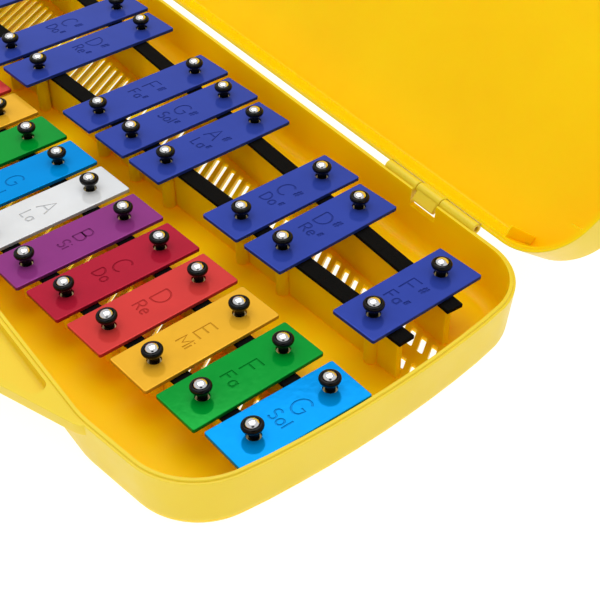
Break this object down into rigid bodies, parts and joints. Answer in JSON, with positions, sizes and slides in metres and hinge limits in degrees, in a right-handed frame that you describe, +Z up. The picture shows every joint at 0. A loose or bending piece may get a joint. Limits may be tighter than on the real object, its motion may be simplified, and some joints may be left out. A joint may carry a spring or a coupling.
{
  "type": "glockenspiel",
  "caption": "Glockenspiel of coloured metal bars in naturals and sharps rows, in a hinged yellow carrying case with a handle, standing open",
  "frame": {"origin": "centre of the tray's flat underside, on the table", "axes": "+X runs along the rows of bars towards the short, high bars; +Y runs from the player and the handle to the hinges; +Z is up"},
  "size_m": [0.455, 0.4378, 0.2202],
  "materials": {
    "bar_G": "light blue enamel, glossy",
    "bar_A": "white enamel, glossy",
    "bar_B": "purple enamel, glossy",
    "bar_C": "crimson enamel, glossy",
    "bar_D": "red enamel, glossy",
    "bar_E": "yellow enamel, glossy",
    "bar_F": "green enamel, glossy",
    "bar_sharp": "blue enamel, glossy",
    "black_rubber": "satin black",
    "yellow_plastic": "moulded, semi-gloss yellow",
    "copper_pin": "plain drawn wire",
    "steel_pin": "plain drawn wire"
  },
  "bodies": {
    "case": {"bar_G1": "bar_G", "bar_A1": "bar_A", "bar_B1": "bar_B", "bar_C1": "bar_C", "bar_D1": "bar_D", "bar_E1": "bar_E", "bar_F1": "bar_F", "bar_G2": "bar_G", "bar_A2": "bar_A", "bar_B2": "bar_B", "bar_C2": "bar_C", "bar_D2": "bar_D", "bar_E2": "bar_E", "bar_F2": "bar_F", "bar_G3": "bar_G", "bar_G1_sharp": "bar_sharp", "bar_A1_sharp": "bar_sharp", "bar_C1_sharp": "bar_sharp", "bar_D1_sharp": "bar_sharp", "bar_F1_sharp": "bar_sharp", "bar_G2_sharp": "bar_sharp", "bar_A2_sharp": "bar_sharp", "bar_C2_sharp": "bar_sharp", "bar_D2_sharp": "bar_sharp", "bar_F2_sharp": "bar_sharp", "natural_front_strip": "black_rubber", "natural_rear_strip": "black_rubber", "sharp_front_strip": "black_rubber", "sharp_rear_strip": "black_rubber", "tray": "yellow_plastic", "left_hinge_pin": "copper_pin", "right_hinge_pin": "copper_pin", "left_latch_pin": "steel_pin", "right_latch_pin": "steel_pin"},
    "lid": {"lid": "yellow_plastic"},
    "latch_left": {"left_latch": "yellow_plastic"},
    "latch_right": {"right_latch": "yellow_plastic"}
  },
  "joints": [
    {"name": "lid_hinge", "type": "hinge", "parent": "case", "child": "lid", "pos_m": [0, 0.11081, 0.0274], "axis": [0.9963, -0.0862, 0], "range_deg": [0, 130]},
    {"name": "left_latch_pivot", "type": "hinge", "parent": "case", "child": "latch_left", "pos_m": [-0.11335, -0.13167, 0.0224], "axis": [-0.987, 0.1607, 0], "range_deg": [-12, 183.6]},
    {"name": "right_latch_pivot", "type": "hinge", "parent": "case", "child": "latch_right", "pos_m": [0.0799, -0.12198, 0.0224], "axis": [-0.959, -0.2834, 0], "range_deg": [-12, 183.6]}
  ]
}
